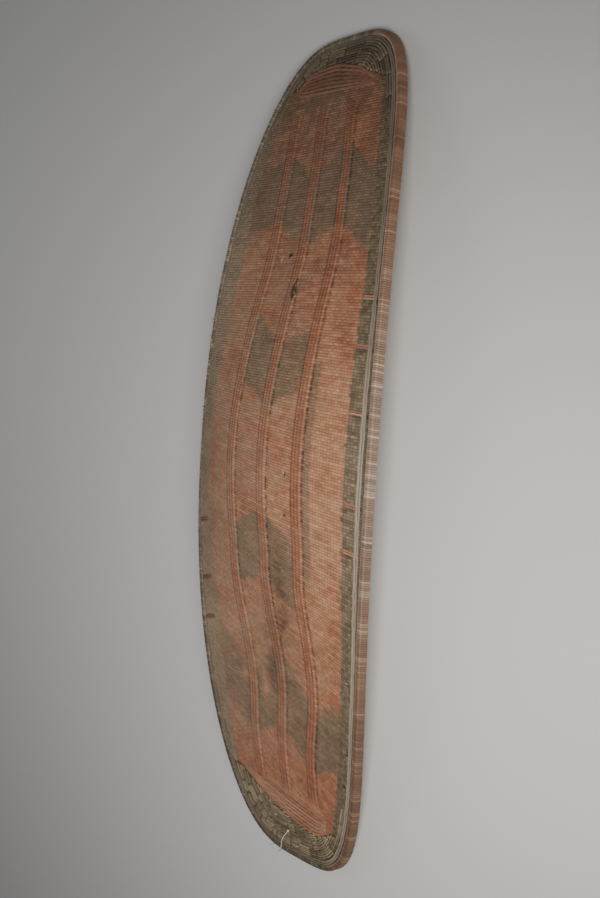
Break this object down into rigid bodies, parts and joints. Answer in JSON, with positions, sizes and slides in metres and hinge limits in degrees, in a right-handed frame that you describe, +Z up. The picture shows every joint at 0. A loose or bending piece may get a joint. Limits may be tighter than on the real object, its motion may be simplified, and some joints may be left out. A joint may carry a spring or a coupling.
{
  "type": "woven cane shield",
  "caption": "Long bowed wickerwork shield of close-woven cane with a wrapped cane rim, raised ribs and a wooden grip lashed behind its middle.",
  "frame": {"origin": "on the floor under the middle of the shield, which lies face up on the undersides of the two ends of its rim", "axes": "+Z up through the front face, +Y along the length towards the upper end, +X to the right as the front is seen with that end up"},
  "size_m": [0.39, 1.263, 0.1375],
  "materials": {
    "woven_cane": "dyed red and olive, dry, worn and dusty",
    "rim_cane": "reddish brown wrapped cane with a low polish from handling",
    "grip_wood": "dark wood, smooth from the hand",
    "lashing_cane": "split cane, satin outer skin",
    "cotton_thread": "off-white twisted thread"
  },
  "bodies": {
    "root": {"woven_panel": "woven_cane", "rim_hoop": "rim_cane", "hand_grip": "grip_wood", "grip_lashing_upper": "lashing_cane", "grip_lashing_lower": "lashing_cane", "thread_tie": "cotton_thread"}
  },
  "joints": []
}
